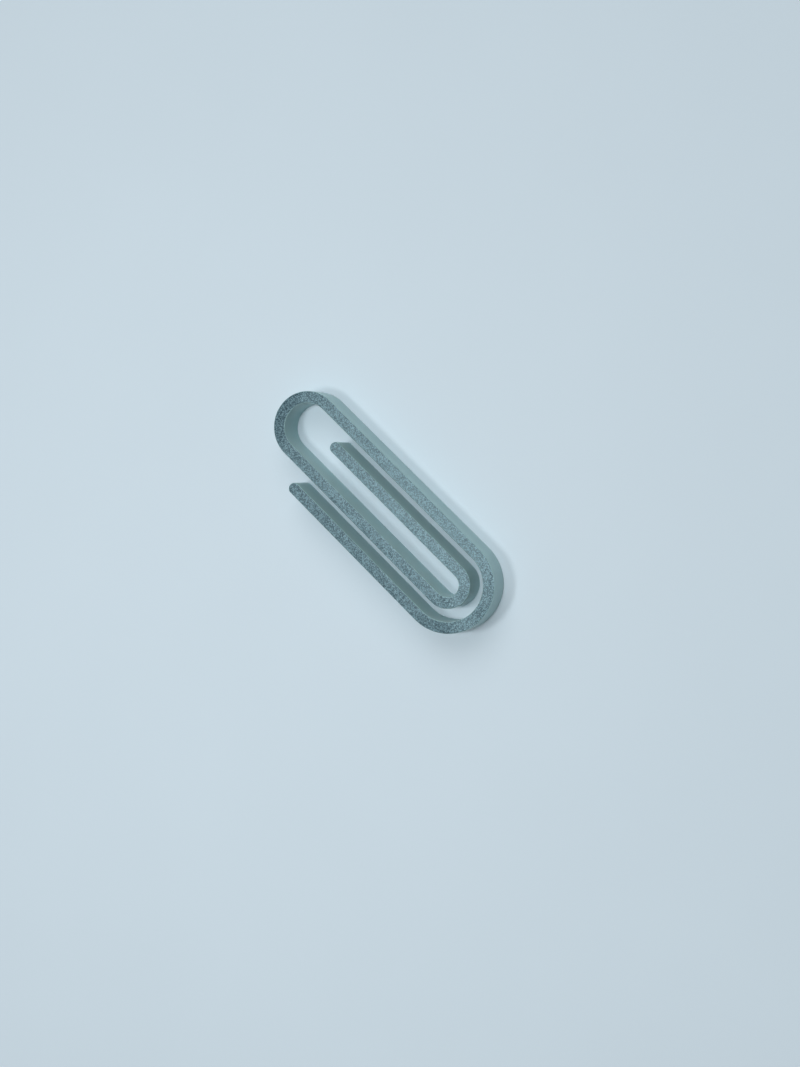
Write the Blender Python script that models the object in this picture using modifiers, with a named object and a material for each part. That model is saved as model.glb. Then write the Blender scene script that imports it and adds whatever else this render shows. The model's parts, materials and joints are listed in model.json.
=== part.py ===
"""A large paper clip: one flat strip of printed plastic that stands on its edge.

The strip runs from the free end of the outer leg, round the outer bend, along
the back leg, round the head bend, along the inner leg, round the tip bend and
back along the tongue. It flexes at its bends, so it is divided at the crown of
each bend into the four lengths that move against each other.

Units are metres. +X runs along the clip towards the outer bend, +Y across it
towards the back leg, +Z up. The origin is under the middle of the clip.
"""

import math

import bmesh
import bpy
from mathutils import Vector

# Driving dimensions
STRIP_WIDTH = 0.0040
STRIP_HEIGHT = 0.0120
LEG_GAP = 0.0044
OUTER_RADIUS = 0.0145
BEND_SPACING = 0.0730
OUTER_LEG_LENGTH = 0.0620
TONGUE_LENGTH = 0.0605
RIM_CHAMFER = 0.0003
FLEX_GAP = 0.0003

# Sizes that follow from them; radii and leg places are those of the strip's centre line
HALF_WIDTH = STRIP_WIDTH / 2
LEG_PITCH = STRIP_WIDTH + LEG_GAP
TIP_RADIUS = OUTER_RADIUS - LEG_PITCH
HEAD_RADIUS = OUTER_RADIUS - LEG_PITCH / 2
CLIP_LENGTH = BEND_SPACING + OUTER_RADIUS + HEAD_RADIUS + STRIP_WIDTH
NEST_X = CLIP_LENGTH / 2 - HALF_WIDTH - OUTER_RADIUS

# The outer bend and the tip bend share one centre, so the loops nest evenly
NEST_CENTRE = Vector((NEST_X, 0.0))
HEAD_CENTRE = Vector((NEST_X - BEND_SPACING, LEG_PITCH / 2))
OUTER_END = Vector((NEST_X - OUTER_LEG_LENGTH, -OUTER_RADIUS))
TONGUE_END = Vector((NEST_X - TONGUE_LENGTH, TIP_RADIUS))

# The points that the lengths flex about: the middle of the strip at each crown
MID_HEIGHT = STRIP_HEIGHT / 2
CLIP_ORIGIN = Vector((0.0, 0.0, 0.0))
OUTER_CROWN = Vector((NEST_X + OUTER_RADIUS, 0.0, MID_HEIGHT))
TIP_CROWN = Vector((NEST_X + TIP_RADIUS, 0.0, MID_HEIGHT))
HEAD_CROWN = Vector((HEAD_CENTRE.x - HEAD_RADIUS, HEAD_CENTRE.y, MID_HEIGHT))

# Facets
BEND_STEP = 5.0
END_STEP = 12.0
SMOOTH_ANGLE = math.radians(30.0)

PLASTIC_COLOUR = (0.165, 0.255, 0.290, 1.0)
PLASTIC_ROUGHNESS = 0.6


def clear_scene():
    """Remove every object, so that the file starts empty."""
    for item in list(bpy.data.objects):
        bpy.data.objects.remove(item, do_unlink=True)


def arc(centre, radius, start, end, step=BEND_STEP):
    """Return points on an arc from start to end, in degrees."""
    count = max(1, round(abs(end - start) / step))
    points = []
    for index in range(count + 1):
        angle = math.radians(start + (end - start) * index / count)
        points.append(centre + radius * Vector((math.cos(angle), math.sin(angle))))
    return points


def bend(centre, radius, leg_angle, crown_angle):
    """Return one half of a bend's outer and inner edges, from its leg to its crown.

    Each edge stops half a flex gap short of the crown, so the end face is square
    to the strip and parallel to the face of the length that it meets.
    """
    edges = []
    for edge_radius in (radius + HALF_WIDTH, radius - HALF_WIDTH):
        short = math.degrees(math.asin(FLEX_GAP / 2 / edge_radius))
        stop = crown_angle + math.copysign(short, leg_angle - crown_angle)
        edges.append(arc(centre, edge_radius, leg_angle, stop))
    return edges


def round_end(centre):
    """Return the half circle that closes a free end, from its +Y side to its -Y side."""
    return arc(centre, HALF_WIDTH, 90.0, 270.0, END_STEP)


def backwards(points):
    """Return the points in the other order."""
    return list(reversed(points))


def outer_leg_outline():
    """Free end, outer leg and the first half of the outer bend."""
    outside, inside = bend(NEST_CENTRE, OUTER_RADIUS, -90.0, 0.0)
    return round_end(OUTER_END) + outside + backwards(inside)


def back_leg_outline():
    """Second half of the outer bend, the long back leg and the first half of the head bend."""
    nest_outside, nest_inside = bend(NEST_CENTRE, OUTER_RADIUS, 90.0, 0.0)
    head_outside, head_inside = bend(HEAD_CENTRE, HEAD_RADIUS, 90.0, 180.0)
    return backwards(nest_outside) + head_outside + backwards(head_inside) + nest_inside


def inner_leg_outline():
    """Second half of the head bend, the inner leg and the first half of the tip bend."""
    head_outside, head_inside = bend(HEAD_CENTRE, HEAD_RADIUS, 270.0, 180.0)
    tip_outside, tip_inside = bend(NEST_CENTRE, TIP_RADIUS, -90.0, 0.0)
    return backwards(head_outside) + tip_outside + backwards(tip_inside) + head_inside


def tongue_outline():
    """Second half of the tip bend and the tongue, with its free end."""
    outside, inside = bend(NEST_CENTRE, TIP_RADIUS, 90.0, 0.0)
    return backwards(outside) + round_end(TONGUE_END) + inside


def extrude_outline(name, outline, origin):
    """Return a mesh of the outline at the strip's full height, about the given origin."""
    curve = bpy.data.curves.new(name + "_outline", "CURVE")
    curve.dimensions = "2D"
    curve.fill_mode = "BOTH"
    curve.extrude = MID_HEIGHT
    spline = curve.splines.new("POLY")
    spline.points.add(len(outline) - 1)
    for point, place in zip(spline.points, outline):
        point.co = (place.x - origin.x, place.y - origin.y, 0.0, 1.0)
    spline.use_cyclic_u = True

    guide = bpy.data.objects.new(name + "_outline", curve)
    bpy.context.scene.collection.objects.link(guide)
    evaluated = guide.evaluated_get(bpy.context.evaluated_depsgraph_get())
    mesh = bpy.data.meshes.new_from_object(evaluated)
    bpy.data.objects.remove(guide, do_unlink=True)
    bpy.data.curves.remove(curve)
    mesh.name = name
    return mesh


def is_flex_face(face, origin):
    """Tell whether a face is one of the end faces at a crown."""
    if abs(face.normal.y) < 0.999:
        return False
    middle = face.calc_center_median().y + origin.y
    crowns = (OUTER_CROWN.y, HEAD_CROWN.y)
    return any(abs(middle - crown) < FLEX_GAP for crown in crowns)


def mark_rims(mesh, origin):
    """Weld the mesh, make each flat side one face, and weight its rim for the chamfer."""
    shape = bmesh.new()
    shape.from_mesh(mesh)
    bmesh.ops.remove_doubles(shape, verts=shape.verts, dist=FLEX_GAP / 100)
    bmesh.ops.recalc_face_normals(shape, faces=shape.faces)
    for direction in (1.0, -1.0):
        flat = [face for face in shape.faces if face.normal.z * direction > 0.999]
        bmesh.ops.dissolve_faces(shape, faces=flat)
    weight = shape.edges.layers.float.new("bevel_weight_edge")
    for edge in shape.edges:
        level = abs(edge.verts[0].co.z - edge.verts[1].co.z) < FLEX_GAP / 100
        at_crown = any(is_flex_face(face, origin) for face in edge.link_faces)
        edge[weight] = 1.0 if level and not at_crown else 0.0
    shape.to_mesh(mesh)
    shape.free()


def plastic(name):
    """Return the matte blue-grey plastic of one length."""
    material = bpy.data.materials.new(name + "_plastic")
    material.use_nodes = True
    shader = material.node_tree.nodes["Principled BSDF"]
    shader.inputs["Base Color"].default_value = PLASTIC_COLOUR
    shader.inputs["Roughness"].default_value = PLASTIC_ROUGHNESS
    shader.inputs["Metallic"].default_value = 0.0
    return material


def add_length(collection, name, outline, origin, parent=None, parent_origin=CLIP_ORIGIN):
    """Add one length of the strip, with its origin at the point that it flexes about."""
    mesh = extrude_outline(name, outline, origin)
    mark_rims(mesh, origin)
    mesh.shade_smooth()
    mesh.set_sharp_from_angle(angle=SMOOTH_ANGLE)
    mesh.materials.append(plastic(name))

    length = bpy.data.objects.new(name, mesh)
    collection.objects.link(length)
    length.parent = parent
    length.location = origin - parent_origin

    chamfer = length.modifiers.new("rim_chamfer", "BEVEL")
    chamfer.limit_method = "WEIGHT"
    chamfer.width = RIM_CHAMFER
    chamfer.segments = 1
    return length


def main():
    """Build the clip."""
    clear_scene()
    clip = bpy.data.collections.new("paper_clip")
    bpy.context.scene.collection.children.link(clip)

    base = Vector((0.0, 0.0, MID_HEIGHT))
    back_leg = add_length(clip, "back_leg", back_leg_outline(), base)
    add_length(clip, "outer_leg", outer_leg_outline(), OUTER_CROWN, back_leg, base)
    inner_leg = add_length(clip, "inner_leg", inner_leg_outline(), HEAD_CROWN, back_leg, base)
    add_length(clip, "tongue", tongue_outline(), TIP_CROWN, inner_leg, HEAD_CROWN)


main()
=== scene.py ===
"""The looks of a large paper clip: one tall strip of printed plastic, bent into nested loops.

The straight legs are rigid and ride on their own bodies. The bends are the parts of the strip that
flex, and each one is a piece of its own between the two legs that it joins.

Units are metres. +X runs along the clip towards the outer bend, +Y across it towards the back leg.
"""

import json
import math
from collections import namedtuple

import bmesh
import bpy
from bpy.props import FloatProperty, FloatVectorProperty, IntProperty, PointerProperty
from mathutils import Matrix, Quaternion, Vector


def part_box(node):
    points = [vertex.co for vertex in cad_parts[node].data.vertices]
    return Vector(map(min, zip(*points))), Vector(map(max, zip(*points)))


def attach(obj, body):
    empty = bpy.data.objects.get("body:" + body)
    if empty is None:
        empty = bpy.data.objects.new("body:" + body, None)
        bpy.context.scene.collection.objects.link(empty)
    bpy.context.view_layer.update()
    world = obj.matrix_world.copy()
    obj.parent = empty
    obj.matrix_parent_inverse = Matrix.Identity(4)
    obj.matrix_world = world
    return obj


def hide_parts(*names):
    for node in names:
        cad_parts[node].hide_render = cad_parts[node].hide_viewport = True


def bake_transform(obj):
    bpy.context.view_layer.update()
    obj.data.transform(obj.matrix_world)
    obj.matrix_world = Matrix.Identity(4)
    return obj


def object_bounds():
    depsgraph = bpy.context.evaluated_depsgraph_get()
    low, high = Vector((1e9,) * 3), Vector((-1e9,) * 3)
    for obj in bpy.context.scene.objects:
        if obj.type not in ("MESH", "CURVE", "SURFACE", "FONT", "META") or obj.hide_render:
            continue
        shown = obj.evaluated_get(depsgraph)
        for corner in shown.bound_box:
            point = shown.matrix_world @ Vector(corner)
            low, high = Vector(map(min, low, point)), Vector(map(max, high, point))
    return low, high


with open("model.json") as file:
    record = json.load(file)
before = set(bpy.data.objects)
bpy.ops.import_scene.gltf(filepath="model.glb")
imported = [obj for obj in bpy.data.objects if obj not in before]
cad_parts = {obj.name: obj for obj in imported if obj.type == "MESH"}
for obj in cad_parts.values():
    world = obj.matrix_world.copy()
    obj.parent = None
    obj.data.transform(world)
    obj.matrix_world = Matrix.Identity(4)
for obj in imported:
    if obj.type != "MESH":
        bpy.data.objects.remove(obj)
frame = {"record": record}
CAD_LOW, CAD_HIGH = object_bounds()

bl_info = {
    "name": "Paper Clip",
    "version": (1, 0, 0),
    "blender": (4, 5, 0),
    "location": "3D View > Sidebar > Paper Clip",
    "description": "Adds a large paper clip of printed plastic, with its light and camera",
    "category": "Object",
}

MM = 0.001

# Joint places, which are the middles of the strip at the crowns of the bends
CROWNS = {joint["name"]: Vector(joint["pos_m"]) for joint in frame["record"]["behaviour"]["joints"]}
OUTER_CROWN = CROWNS["outer_leg_spread"]
HEAD_CROWN = CROWNS["inner_leg_lift"]
TIP_CROWN = CROWNS["tongue_spread"]

# Sizes of the strip that follow from the frame; radii and leg places are those of its centre line
STRIP_HEIGHT = CAD_HIGH.z - CAD_LOW.z
HALF_WIDTH = CAD_HIGH.x - OUTER_CROWN.x
OUTER_RADIUS = CAD_HIGH.y - HALF_WIDTH
NEST_CENTRE = Vector((OUTER_CROWN.x - OUTER_RADIUS, OUTER_CROWN.y))
TIP_RADIUS = TIP_CROWN.x - NEST_CENTRE.x
HEAD_RADIUS = OUTER_RADIUS - HEAD_CROWN.y
HEAD_CENTRE = Vector((HEAD_CROWN.x + HEAD_RADIUS, HEAD_CROWN.y))
OUTER_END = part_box("outer_leg")[0].x + HALF_WIDTH
TONGUE_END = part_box("tongue")[0].x + HALF_WIDTH

# Where each leg lies across the clip
LEG_Y = {
    "outer_leg": -OUTER_RADIUS,
    "inner_leg": -TIP_RADIUS,
    "tongue": TIP_RADIUS,
    "back_leg": OUTER_RADIUS,
}

# A bend runs this far into its legs, so that the pieces meet where the strip is straight
BEND_LEAD = 2.0 * MM
WELD = 0.0001 * MM
SHARP_ANGLE = math.radians(50.0)

# Faces per rounded rim, per bead and per half of a round end
RIM_STEPS = 4
BEAD_STEPS = 4
END_STEPS = 16

# Finishes of the strip, in the order of a piece's material slots
PLATE_FACE = 0
WALL = 1
UNDERSIDE = 2

# Map of a piece laid out flat: metres along the strip and round its section
STRIP_MAP = "strip"


def linear(code):
    """Turn an sRGB colour such as "#8FA3A8" into linear red, green and blue."""
    values = [int(code[place:place + 2], 16) / 255 for place in (1, 3, 5)]
    return [v / 12.92 if v <= 0.04045 else ((v + 0.055) / 1.055) ** 2.4 for v in values]


class ClipStripSettings(bpy.types.PropertyGroup):
    """Fine shape of the printed strip."""

    rim_radius: FloatProperty(
        name="Rim radius",
        description="Rounding of the strip's four long edges",
        default=0.2 * MM,
        subtype="DISTANCE",
        unit="LENGTH",
    )
    layer_height: FloatProperty(
        name="Layer height",
        description="Height of one layer on the walls, drawn a little coarser than such prints have",
        default=0.3 * MM,
        subtype="DISTANCE",
        unit="LENGTH",
    )
    layer_relief: FloatProperty(
        name="Layer relief",
        description="Depth of the crease between two layers",
        default=0.012 * MM,
        subtype="DISTANCE",
        unit="LENGTH",
    )
    passes: IntProperty(
        name="Passes",
        description="Number of beads that lie side by side across the strip; an even number",
        default=10,
        min=4,
        max=20,
    )
    pass_relief: FloatProperty(
        name="Pass relief",
        description="Depth of the crease between two beads on the underside",
        default=0.05 * MM,
        subtype="DISTANCE",
        unit="LENGTH",
    )
    bend_step: FloatProperty(
        name="Bend step",
        description="Angle between two sections of a bend",
        default=math.radians(3.0),
        subtype="ANGLE",
        unit="ROTATION",
    )


class ClipPlasticSettings(bpy.types.PropertyGroup):
    """Colours and grain of the plastic."""

    body: FloatVectorProperty(
        name="Body",
        description="Colour of the smooth walls",
        default=linear("#9CBFC0"),
        subtype="COLOR",
        min=0.0,
        max=1.0,
    )
    # Painted shade: the dark colour where the grains of the face meet, standing for the shade between
    # its tiny bumps
    painted_pit_shade: FloatVectorProperty(
        name="Pits",
        description="Colour of the pits in the grained face",
        default=linear("#2D4049"),
        subtype="COLOR",
        min=0.0,
        max=1.0,
    )
    # Painted light: the pale colour at the tops of the grains, standing for the light that the tiny
    # bumps catch
    painted_peak_light: FloatVectorProperty(
        name="Peaks",
        description="Colour of the raised specks of the grained face",
        default=linear("#8AABB6"),
        subtype="COLOR",
        min=0.0,
        max=1.0,
    )
    glint: FloatVectorProperty(
        name="Glints",
        description="Tint of the light that the grained face throws back",
        default=linear("#CDF2FA"),
        subtype="COLOR",
        min=0.0,
        max=1.0,
    )
    grain_size: FloatProperty(
        name="Grain size",
        description="Width of one speck of the grained face",
        default=0.38 * MM,
        subtype="DISTANCE",
        unit="LENGTH",
    )
    grain_slant: FloatProperty(
        name="Grain slant",
        description="How far a facet of the grain may lean to each side, as a slope",
        default=0.05,
        min=0.0,
        max=1.0,
    )
    grain_roughness: FloatProperty(
        name="Grain roughness",
        description="Roughness of one facet of the grain",
        default=0.27,
        subtype="FACTOR",
        min=0.0,
        max=1.0,
    )
    grain_gloss: FloatProperty(
        name="Grain gloss",
        description="How strongly a facet of the grain mirrors the light; plain plastic has 0.5",
        default=0.4,
        subtype="FACTOR",
        min=0.0,
        max=1.0,
    )
    grain_stretch: FloatProperty(
        name="Grain stretch",
        description="How far the sheen of the grained face is drawn out along the strip",
        default=0.9,
        subtype="FACTOR",
        min=0.0,
        max=1.0,
    )


class ClipStageSettings(bpy.types.PropertyGroup):
    """Floor, light and camera."""

    floor_colour: FloatVectorProperty(
        name="Floor",
        description="Colour of the table top",
        default=linear("#CDDDE7"),
        subtype="COLOR",
        min=0.0,
        max=1.0,
    )
    floor_size: FloatProperty(
        name="Floor size",
        description="Length of one side of the table top",
        default=8.0,
        subtype="DISTANCE",
        unit="LENGTH",
    )
    dome_strength: FloatProperty(
        name="Dome strength",
        description="Brightness of the light that comes from all round",
        default=0.09,
        min=0.0,
    )
    overhead_power: FloatProperty(
        name="Overhead power",
        description="Power of the far lamp above the clip",
        default=930.0,
        min=0.0,
        unit="POWER",
    )
    key_power: FloatProperty(
        name="Key power",
        description="Power of the small near lamp on the side of the outer leg",
        default=0.65,
        min=0.0,
        unit="POWER",
    )
    back_power: FloatProperty(
        name="Back power",
        description="Power of the wide far lamp on the side of the head and the back leg",
        default=3350.0,
        min=0.0,
        unit="POWER",
    )
    camera_distance: FloatProperty(
        name="Camera distance",
        description="Distance from the camera to the point that it looks at",
        default=552.3 * MM,
        subtype="DISTANCE",
        unit="LENGTH",
    )


# A place on the strip's centre line, with the strip's heading there, how far along the place lies on
# the map, and the directions of the two halves of the section
Station = namedtuple("Station", "point heading along left right")


def station(point, heading, along):
    """Return the station of a whole section, whose halves lie square to the heading."""
    left = Vector((-heading.y, heading.x))
    return Station(point, heading, along, left, -left)


def straight(start, end, across):
    """Return the stations at the two ends of a leg that runs along +X."""
    heading = Vector((1.0, 0.0))
    return [station(Vector((x, across)), heading, x) for x in (start, end)]


def half_turn(centre, radius, start, step):
    """Return the stations of a bend that turns anticlockwise, with a short lead at each end."""
    count = math.ceil(math.pi / step)
    stations = []
    for index in range(count + 1):
        turned = math.pi * index / count
        outwards = Vector((math.cos(start + turned), math.sin(start + turned)))
        heading = Vector((-outwards.y, outwards.x))
        stations.append(station(centre + radius * outwards, heading, radius * turned))
    first = stations[0]
    last = stations[-1]
    lead_in = station(first.point - BEND_LEAD * first.heading, first.heading, -BEND_LEAD)
    lead_out = station(last.point + BEND_LEAD * last.heading, last.heading, last.along + BEND_LEAD)
    return [lead_in, *stations, lead_out]


def round_end(tip, across):
    """Return the stations that close a free end at the -X end of a leg, from its tip inwards.

    Both halves of the section swing round the end's centre, so the end is half a turned form.
    """
    heading = Vector((1.0, 0.0))
    stations = []
    for index in range(END_STEPS):
        angle = math.pi / 2 * index / END_STEPS
        back = -math.cos(angle)
        side = math.sin(angle)
        sides = (Vector((back, side)), Vector((back, -side)))
        stations.append(Station(Vector((tip, across)), heading, tip, *sides))
    return stations


def laid_flat(place, side, girth):
    """Return where a point of a section lies on the strip's map, along it and round its section."""
    across = Vector((-place.heading.y, place.heading.x))
    return (place.along + side.dot(place.heading) * girth, side.dot(across) * girth)


def half_section(strip):
    """Return half of the strip's section, from the middle of its upper face to its underside's.

    Each point is (distance from the middle, height, finish of the face that follows).
    """
    rim = strip.rim_radius
    flat = HALF_WIDTH - rim

    # Upper face, with a line close to the rim that keeps its shading flat
    near_rim = flat - rim / 4
    points = [(0.0, STRIP_HEIGHT, PLATE_FACE), (near_rim, STRIP_HEIGHT, PLATE_FACE)]

    # Upper rim, which is smooth beyond its first face
    for index in range(RIM_STEPS + 1):
        angle = math.radians(90.0) * index / RIM_STEPS
        height = STRIP_HEIGHT - rim * (1.0 - math.cos(angle))
        finish = PLATE_FACE if index == 0 else WALL
        points.append((flat + rim * math.sin(angle), height, finish))

    # Wall: the middle of each layer stands out, and the crease below it lies in. Such prints often
    # have layers of 0.2 mm, which are drawn coarser so that they show from close by
    layers = round((STRIP_HEIGHT - 2 * rim) / strip.layer_height)
    pitch = (STRIP_HEIGHT - 2 * rim) / layers
    for index in range(layers):
        top = STRIP_HEIGHT - rim - index * pitch
        points.append((HALF_WIDTH, top - pitch / 2, WALL))
        if index < layers - 1:
            points.append((HALF_WIDTH - strip.layer_relief, top - pitch, WALL))

    # Lower rim
    for index in range(RIM_STEPS + 1):
        angle = math.radians(90.0) * index / RIM_STEPS
        height = rim * (1.0 - math.sin(angle))
        points.append((flat + rim * math.cos(angle), height, WALL))

    # Underside: beads laid side by side, which follow the strip
    bead = 2 * HALF_WIDTH / strip.passes
    count = int(HALF_WIDTH / bead * BEAD_STEPS) - BEAD_STEPS
    for index in range(count, -1, -1):
        across = index * bead / BEAD_STEPS
        crest = abs(math.sin(math.pi * across / bead))
        points.append((across, strip.pass_relief * (1.0 - crest), UNDERSIDE))
    return points


def sweep_strip(name, stations, section, free_start=False):
    """Return a closed piece of strip that carries the section through the stations."""
    half = len(section) - 1
    half_finishes = [finish for _, _, finish in section[:-1]]
    ring_finishes = half_finishes + half_finishes[::-1]
    girths = [0.0]
    for (inner, upper, _), (outer, lower, _) in zip(section, section[1:]):
        girths.append(girths[-1] + math.hypot(outer - inner, upper - lower))

    shape = bmesh.new()
    strip_map = shape.loops.layers.uv.new(STRIP_MAP)
    rings = []
    for place in stations:
        ring = []
        sides = [(place.left, point) for point in section]
        sides += [(place.right, point) for point in section[-2:0:-1]]
        for side, (across, height, _) in sides:
            spot = place.point + side * across
            ring.append(shape.verts.new((spot.x, spot.y, height)))
        rings.append(ring)

    size = len(rings[0])
    for number in range(len(rings) - 1):
        for index in range(size):
            after = (index + 1) % size
            corners = ((number, index), (number, after), (number + 1, after), (number + 1, index))
            face = shape.faces.new([rings[row][column] for row, column in corners])
            face.material_index = ring_finishes[index]
            face.smooth = True
            for loop, (row, column) in zip(face.loops, corners):
                place = stations[row]
                side = place.left if index < half else place.right
                loop[strip_map].uv = laid_flat(place, side, girths[min(column, size - column)])

    square_ends = [rings[-1]] if free_start else [rings[0], rings[-1]]
    for ring in square_ends:
        cap = shape.faces.new(ring)
        cap.material_index = WALL
    bmesh.ops.remove_doubles(shape, verts=shape.verts, dist=WELD)
    bmesh.ops.recalc_face_normals(shape, faces=shape.faces)

    mesh = bpy.data.meshes.new(name)
    shape.to_mesh(mesh)
    shape.free()
    mesh.set_sharp_from_angle(angle=SHARP_ANGLE)
    piece = bpy.data.objects.new(name, mesh)
    clip_collection().objects.link(piece)
    return piece


def clip_collection():
    """Return the collection that holds the clip's pieces, made at its first use."""
    name = "paper_clip_pieces"
    collection = bpy.data.collections.get(name)
    if collection is None:
        collection = bpy.data.collections.new(name)
        bpy.context.scene.collection.children.link(collection)
    return collection


def add_node(tree, kind, settings=None, values=None, links=None):
    """Add a node with its settings, its input values and its links, and return it."""
    node = tree.nodes.new(kind)
    for name, value in (settings or {}).items():
        setattr(node, name, value)
    for socket, value in (values or {}).items():
        node.inputs[socket].default_value = value
    for socket, source in (links or {}).items():
        tree.links.new(source, node.inputs[socket])
    return node


def new_material(name):
    """Return an empty material, its node tree and its object coordinates."""
    material = bpy.data.materials.new(name)
    material.use_nodes = True
    tree = material.node_tree
    tree.nodes.clear()
    place = add_node(tree, "ShaderNodeTexCoord").outputs["Object"]
    return material, tree, place


def opaque(colour):
    """Return a linear colour with full alpha."""
    return (*colour, 1.0)


# PLA, the common printing plastic
PLA_IOR = 1.46


def grained_pla(plastic, name):
    """PLA that was pressed against a textured build plate.

    The plate leaves a fine, even grain of tiny facets, no two of them alike in slant, and those that
    lean to the light flash up. Each grain is painted pale at its top and dark at its foot, by a random
    amount of its own, as painted light and shade of a tiny bump, so the face looks like fine salt and
    pepper.
    The sheen is drawn out along the strip, so the legs look paler than the head.
    """
    material, tree, place = new_material(name)
    facet = add_node(
        tree,
        "ShaderNodeTexVoronoi",
        settings={"voronoi_dimensions": "2D"},
        values={"Scale": 1 / plastic.grain_size},
        links={"Vector": place},
    )
    # Painted light and shade: each grain is painted pale at its top, to a degree of its own, and dark
    # where it meets the next, as the light and shade of a tiny bump. Both places are distances from its
    # middle, in grain widths
    grain_top = 0.05
    grain_foot = 0.9
    chance = add_node(tree, "ShaderNodeSeparateColor", links={"Color": facet.outputs["Color"]})
    painted_grain_shading = add_node(
        tree,
        "ShaderNodeMapRange",
        values={"From Min": grain_top, "From Max": grain_foot, "To Max": 0.0},
        links={"Value": facet.outputs["Distance"], "To Min": chance.outputs["Blue"]},
    )
    # The base colour mixes the painted shade of the pits with the painted light of the peaks
    colour = add_node(
        tree,
        "ShaderNodeMix",
        settings={"data_type": "RGBA"},
        values={"A": opaque(plastic.painted_pit_shade), "B": opaque(plastic.painted_peak_light)},
        links={"Factor": painted_grain_shading.outputs["Result"]},
    )
    # The difference of two even chances makes small slants common and large ones rare
    second = add_node(tree, "ShaderNodeTexWhiteNoise", links={"Vector": facet.outputs["Position"]})
    spread = add_node(
        tree,
        "ShaderNodeVectorMath",
        settings={"operation": "SUBTRACT"},
        links={0: facet.outputs["Color"], 1: second.outputs["Color"]},
    )
    lean = add_node(
        tree,
        "ShaderNodeVectorMath",
        settings={"operation": "MULTIPLY"},
        values={1: (plastic.grain_slant, plastic.grain_slant, 0.0)},
        links={0: spread.outputs["Vector"]},
    )
    surface = add_node(tree, "ShaderNodeNewGeometry")
    leaning = add_node(
        tree,
        "ShaderNodeVectorMath",
        settings={"operation": "ADD"},
        links={0: surface.outputs["Normal"], 1: lean.outputs["Vector"]},
    )
    normal = add_node(
        tree,
        "ShaderNodeVectorMath",
        settings={"operation": "NORMALIZE"},
        links={0: leaning.outputs["Vector"]},
    )
    heading = add_node(
        tree,
        "ShaderNodeTangent",
        settings={"direction_type": "UV_MAP", "uv_map": STRIP_MAP},
    )
    shader = add_node(
        tree,
        "ShaderNodeBsdfPrincipled",
        values={
            "IOR": PLA_IOR,
            "Specular IOR Level": plastic.grain_gloss,
            "Roughness": plastic.grain_roughness,
            "Anisotropic": plastic.grain_stretch,
            "Specular Tint": opaque(plastic.glint),
        },
        links={
            "Base Color": colour.outputs["Result"],
            "Normal": normal.outputs["Vector"],
            "Tangent": heading.outputs["Tangent"],
        },
    )
    add_node(tree, "ShaderNodeOutputMaterial", links={"Surface": shader.outputs["BSDF"]})
    return material


def layered_pla(plastic, name):
    """PLA as it leaves the nozzle, laid in even layers and beads.

    The plastic is smooth and half matt. Long faint streaks run along it, a little paler and duller or
    darker and glossier than the next, because no layer cools quite like another.
    """
    material, tree, place = new_material(name)
    streak_length = 14.0 * MM
    streak_height = 0.6 * MM
    dark_tone = 0.94
    pale_tone = 1.06
    glossy = 0.26
    dull = 0.36
    stretched = add_node(
        tree,
        "ShaderNodeVectorMath",
        settings={"operation": "MULTIPLY"},
        values={1: (1 / streak_length, 1 / streak_length, 1 / streak_height)},
        links={0: place},
    )
    streak = add_node(
        tree,
        "ShaderNodeTexNoise",
        values={"Scale": 1.0},
        links={"Vector": stretched.outputs["Vector"]},
    )
    tone = add_node(
        tree,
        "ShaderNodeMapRange",
        values={"To Min": dark_tone, "To Max": pale_tone},
        links={"Value": streak.outputs["Fac"]},
    )
    colour = add_node(
        tree,
        "ShaderNodeVectorMath",
        settings={"operation": "SCALE"},
        values={0: plastic.body},
        links={"Scale": tone.outputs["Result"]},
    )
    roughness = add_node(
        tree,
        "ShaderNodeMapRange",
        values={"To Min": glossy, "To Max": dull},
        links={"Value": streak.outputs["Fac"]},
    )
    shader = add_node(
        tree,
        "ShaderNodeBsdfPrincipled",
        values={"IOR": PLA_IOR},
        links={"Base Color": colour.outputs["Vector"], "Roughness": roughness.outputs["Result"]},
    )
    add_node(tree, "ShaderNodeOutputMaterial", links={"Surface": shader.outputs["BSDF"]})
    return material


def finishes(plastic):
    """Return the strip's finishes in the order of their slots, each made at its first use."""
    makers = {
        "grained_build_plate_pla": grained_pla,
        "layered_pla": layered_pla,
        "beaded_pla": layered_pla,
    }
    return [bpy.data.materials.get(name) or make(plastic, name) for name, make in makers.items()]


def finish_piece(piece, plastic):
    """Give a piece of strip its finishes."""
    for material in finishes(plastic):
        piece.data.materials.append(material)


class CLIP_OT_add_legs(bpy.types.Operator):
    """Add the four straight legs of the clip, two of them with a round free end."""

    bl_idname = "paper_clip.add_legs"
    bl_label = "Legs"

    def execute(self, context):
        strip = context.scene.clip_strip
        plastic = context.scene.clip_plastic
        section = half_section(strip)
        near_nest = NEST_CENTRE.x - BEND_LEAD
        near_head = HEAD_CENTRE.x + BEND_LEAD
        starts = {
            "outer_leg": OUTER_END,
            "back_leg": near_head,
            "inner_leg": near_head,
            "tongue": TONGUE_END,
        }
        for node, start in starts.items():
            stations = straight(start, near_nest, LEG_Y[node])
            free = start != near_head
            if free:
                stations = round_end(start, LEG_Y[node]) + stations
            piece = sweep_strip(node + "_strip", stations, section, free_start=free)
            finish_piece(piece, plastic)
            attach(piece, node)
            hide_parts(node)
        return {"FINISHED"}


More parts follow.
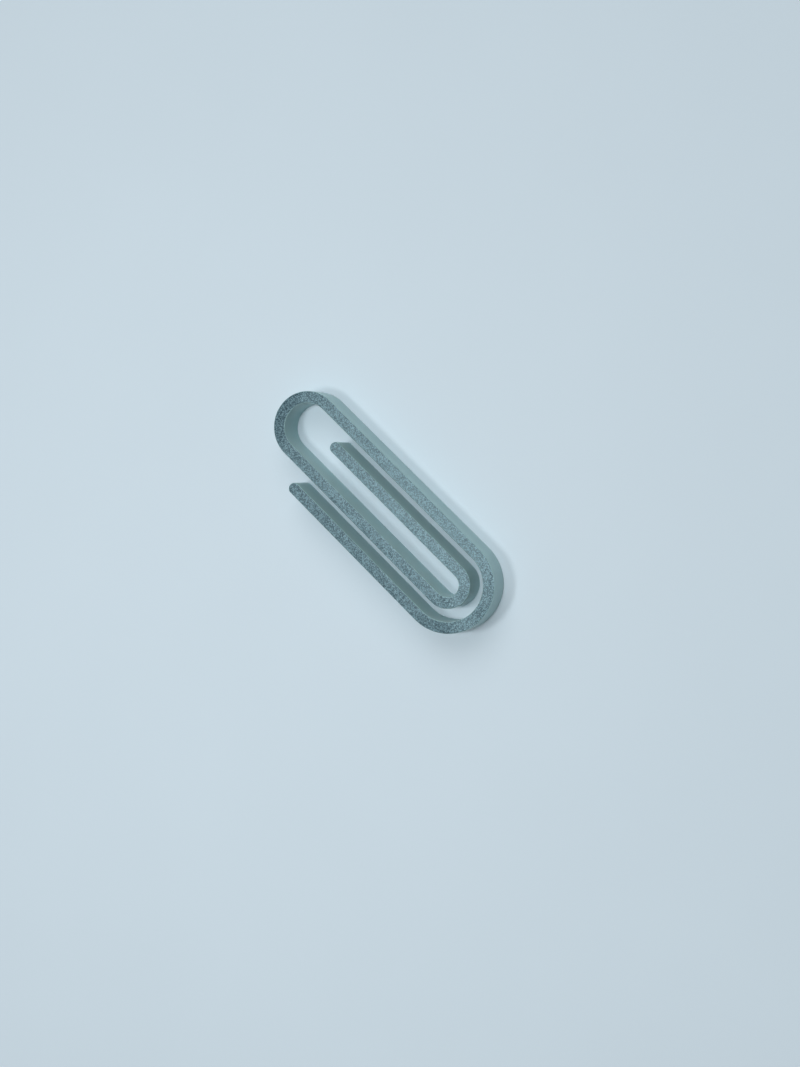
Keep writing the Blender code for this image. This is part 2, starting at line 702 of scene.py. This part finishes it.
class CLIP_OT_add_bends(bpy.types.Operator):
    """Add the three bends, each a piece that joins two legs."""

    bl_idname = "paper_clip.add_bends"
    bl_label = "Bends"

    def execute(self, context):
        strip = context.scene.clip_strip
        plastic = context.scene.clip_plastic
        section = half_section(strip)
        from_below = math.radians(-90.0)
        from_above = math.radians(90.0)
        bends = {
            "outer_bend_strip": (NEST_CENTRE, OUTER_RADIUS, from_below, "outer_leg", "back_leg"),
            "head_bend_strip": (HEAD_CENTRE, HEAD_RADIUS, from_above, "back_leg", "inner_leg"),
            "tip_bend_strip": (NEST_CENTRE, TIP_RADIUS, from_below, "inner_leg", "tongue"),
        }
        for name, (centre, radius, start, first, second) in bends.items():
            stations = half_turn(centre, radius, start, strip.bend_step)
            piece = sweep_strip(name, stations, section)
            finish_piece(piece, plastic)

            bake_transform(piece)
        return {"FINISHED"}


# The camera looks at a point on the table beside the clip's middle, turned so that the clip lies
# aslant. Its lens and sensor are in millimetres
CAMERA_AIM = Vector((8.15, -2.12, 0.0)) * MM
CAMERA_AZIMUTH = math.radians(140.55)
CAMERA_ELEVATION = math.radians(71.25)
CAMERA_ROLL = math.radians(-96.84)
CAMERA_LENS = 53.98
SENSOR = 36.0

# Places and widths of the round lamps. The key is near, so the table darkens a little away from it.
# The others are far off and light the whole table evenly
OVERHEAD_PLACE = Vector((0.0, 0.9, 16.0))
OVERHEAD_WIDTH = 2.5
KEY_PLACE = Vector((-0.078, -0.103, 0.500))
KEY_WIDTH = 0.089
BACK_PLACE = Vector((-13.0, 14.5, 22.7))
BACK_WIDTH = 26.0


def table_top(stage):
    """Matt white laminate with a cool cast: plain, with the faintest cloudy unevenness."""
    material, tree, place = new_material("matt_white_laminate")
    cloud_size = 60.0 * MM
    cloud_detail = 3.0
    dark_tone = 0.985
    pale_tone = 1.015
    dullness = 0.7
    gloss = 0.2
    cloud = add_node(
        tree,
        "ShaderNodeTexNoise",
        values={"Scale": 1 / cloud_size, "Detail": cloud_detail},
        links={"Vector": place},
    )
    tone = add_node(
        tree,
        "ShaderNodeMapRange",
        values={"To Min": dark_tone, "To Max": pale_tone},
        links={"Value": cloud.outputs["Fac"]},
    )
    colour = add_node(
        tree,
        "ShaderNodeVectorMath",
        settings={"operation": "SCALE"},
        values={0: stage.floor_colour},
        links={"Scale": tone.outputs["Result"]},
    )
    shader = add_node(
        tree,
        "ShaderNodeBsdfPrincipled",
        values={"Roughness": dullness, "Specular IOR Level": gloss},
        links={"Base Color": colour.outputs["Vector"]},
    )
    add_node(tree, "ShaderNodeOutputMaterial", links={"Surface": shader.outputs["BSDF"]})
    return material


def studio_dome(stage):
    """Return a world that lights faintly from all round and shows as the colour of the table."""
    world = bpy.data.worlds.new("studio_dome")
    world.use_nodes = True
    tree = world.node_tree
    tree.nodes.clear()
    white = (1.0, 1.0, 1.0)
    light = add_node(
        tree,
        "ShaderNodeBackground",
        values={"Color": opaque(white), "Strength": stage.dome_strength},
    )
    backdrop = add_node(
        tree,
        "ShaderNodeBackground",
        values={"Color": opaque(stage.floor_colour), "Strength": 1.0},
    )
    ray = add_node(tree, "ShaderNodeLightPath")
    mirrored = add_node(
        tree,
        "ShaderNodeMath",
        settings={"operation": "MAXIMUM"},
        links={0: ray.outputs["Is Glossy Ray"], 1: ray.outputs["Is Transmission Ray"]},
    )
    seen = add_node(
        tree,
        "ShaderNodeMath",
        settings={"operation": "MAXIMUM"},
        links={0: ray.outputs["Is Camera Ray"], 1: mirrored.outputs[0]},
    )
    either = add_node(
        tree,
        "ShaderNodeMixShader",
        links={0: seen.outputs[0], 1: light.outputs[0], 2: backdrop.outputs[0]},
    )
    add_node(tree, "ShaderNodeOutputWorld", links={"Surface": either.outputs[0]})
    return world


class CLIP_OT_set_stage(bpy.types.Operator):
    """Add the table top, the light and the camera."""

    bl_idname = "paper_clip.set_stage"
    bl_label = "Stage"

    def execute(self, context):
        stage = context.scene.clip_stage
        self.add_floor(context, stage)
        self.add_light(context, stage)
        self.add_camera(context, stage)
        return {"FINISHED"}

    def add_floor(self, context, stage):
        """Add the table top that the clip lies on."""
        shape = bmesh.new()
        bmesh.ops.create_grid(shape, x_segments=1, y_segments=1, size=stage.floor_size / 2)
        mesh = bpy.data.meshes.new("table_top")
        shape.to_mesh(mesh)
        shape.free()
        mesh.materials.append(table_top(stage))
        floor = bpy.data.objects.new("table_top", mesh)
        context.scene.collection.objects.link(floor)
        floor.location.z = CAD_LOW.z

    def add_light(self, context, stage):
        """Add the dome and the three round lamps."""
        context.scene.world = studio_dome(stage)
        self.add_lamp(context, "overhead_lamp", OVERHEAD_PLACE, OVERHEAD_WIDTH, stage.overhead_power)
        self.add_lamp(context, "key_lamp", KEY_PLACE, KEY_WIDTH, stage.key_power)
        self.add_lamp(context, "back_lamp", BACK_PLACE, BACK_WIDTH, stage.back_power)

    def add_lamp(self, context, name, place, width, power):
        """Add a round lamp at a place, turned to the clip."""
        lamp = bpy.data.lights.new(name, "AREA")
        lamp.shape = "DISK"
        lamp.size = width
        lamp.energy = power
        holder = bpy.data.objects.new(name, lamp)
        context.scene.collection.objects.link(holder)
        holder.location = place
        holder.rotation_mode = "QUATERNION"
        holder.rotation_quaternion = place.to_track_quat("Z", "Y")
        holder.visible_camera = False

    def add_camera(self, context, stage):
        """Add the camera at the photograph's viewing angle."""
        lens = bpy.data.cameras.new("camera")
        lens.sensor_width = SENSOR
        lens.lens = CAMERA_LENS
        camera = bpy.data.objects.new("camera", lens)
        context.scene.collection.objects.link(camera)
        level = math.cos(CAMERA_ELEVATION)
        back = Vector((
            math.sin(CAMERA_AZIMUTH) * level,
            -math.cos(CAMERA_AZIMUTH) * level,
            math.sin(CAMERA_ELEVATION),
        ))
        camera.location = CAMERA_AIM + back * stage.camera_distance
        upright = back.to_track_quat("Z", "Y")
        camera.rotation_mode = "QUATERNION"
        camera.rotation_quaternion = Quaternion(back, CAMERA_ROLL) @ upright
        context.scene.camera = camera
        context.scene.view_settings.view_transform = "Standard"


class CLIP_PT_sidebar(bpy.types.Panel):
    """The clip's settings and the buttons that build it."""

    bl_idname = "CLIP_PT_sidebar"
    bl_label = "Paper Clip"
    bl_space_type = "VIEW_3D"
    bl_region_type = "UI"
    bl_category = "Paper Clip"

    def draw(self, context):
        layout = self.layout
        for settings in (context.scene.clip_strip, context.scene.clip_plastic, context.scene.clip_stage):
            box = layout.box()
            for name in settings.__annotations__:
                box.prop(settings, name)
        for operator in OPERATORS:
            layout.operator(operator.bl_idname)


OPERATORS = (CLIP_OT_add_legs, CLIP_OT_add_bends, CLIP_OT_set_stage)
SETTINGS = {
    "clip_strip": ClipStripSettings,
    "clip_plastic": ClipPlasticSettings,
    "clip_stage": ClipStageSettings,
}


def register():
    """Register the settings, operators and panel."""
    for name, group in SETTINGS.items():
        bpy.utils.register_class(group)
        setattr(bpy.types.Scene, name, PointerProperty(type=group))
    for item in (*OPERATORS, CLIP_PT_sidebar):
        bpy.utils.register_class(item)


def unregister():
    """Undo register, in the other order."""
    for item in (CLIP_PT_sidebar, *reversed(OPERATORS)):
        bpy.utils.unregister_class(item)
    for name, group in reversed(SETTINGS.items()):
        delattr(bpy.types.Scene, name)
        bpy.utils.unregister_class(group)


def main():
    """Build the clip and its stage."""
    register()
    bpy.ops.paper_clip.add_legs()
    bpy.ops.paper_clip.add_bends()
    bpy.ops.paper_clip.set_stage()


if __name__ == "__main__":
    main()
